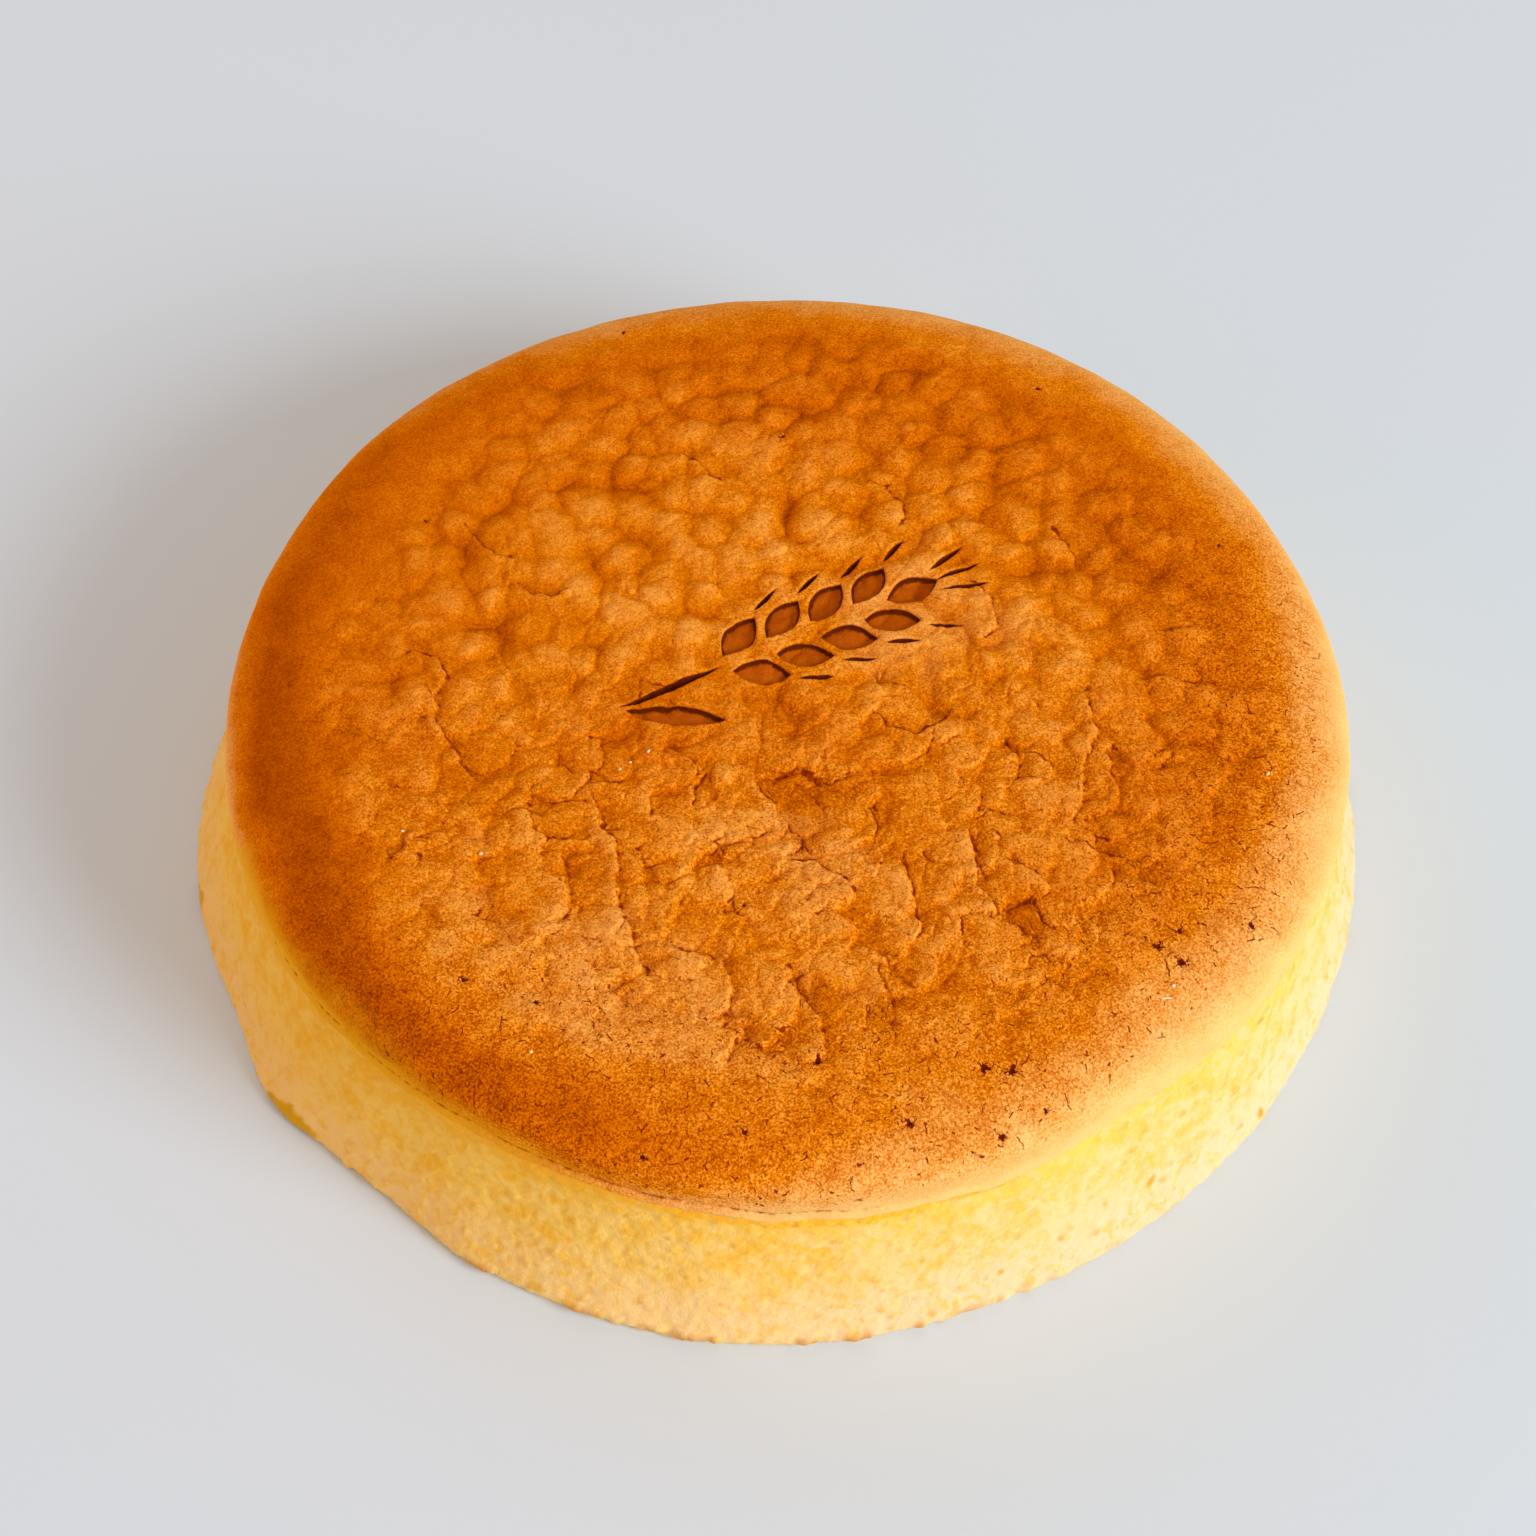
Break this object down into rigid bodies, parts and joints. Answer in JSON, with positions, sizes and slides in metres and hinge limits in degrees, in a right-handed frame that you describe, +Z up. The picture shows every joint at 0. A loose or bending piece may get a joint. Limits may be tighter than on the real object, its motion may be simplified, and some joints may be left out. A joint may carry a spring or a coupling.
{
  "type": "jiggly cheesecake",
  "caption": "Round soft cheesecake, whole and uncut: flared sponge side under an overhanging browned crust with a rounded shoulder, cobbled top and a pressed ear of grain.",
  "frame": {"origin": "centre of the flat bottom, on the surface that the cake rests on", "axes": "+Z up through the crust; -Y towards the side that shows in the picture"},
  "size_m": [0.202, 0.2014, 0.0425],
  "materials": {
    "browned_crust": "soft baked crust, orange brown and faintly glossy, fading to pale gold at the lip",
    "yellow_sponge": "moist open sponge, buttery yellow, matte"
  },
  "bodies": {
    "root": {"cheesecake": "browned_crust"}
  },
  "joints": []
}
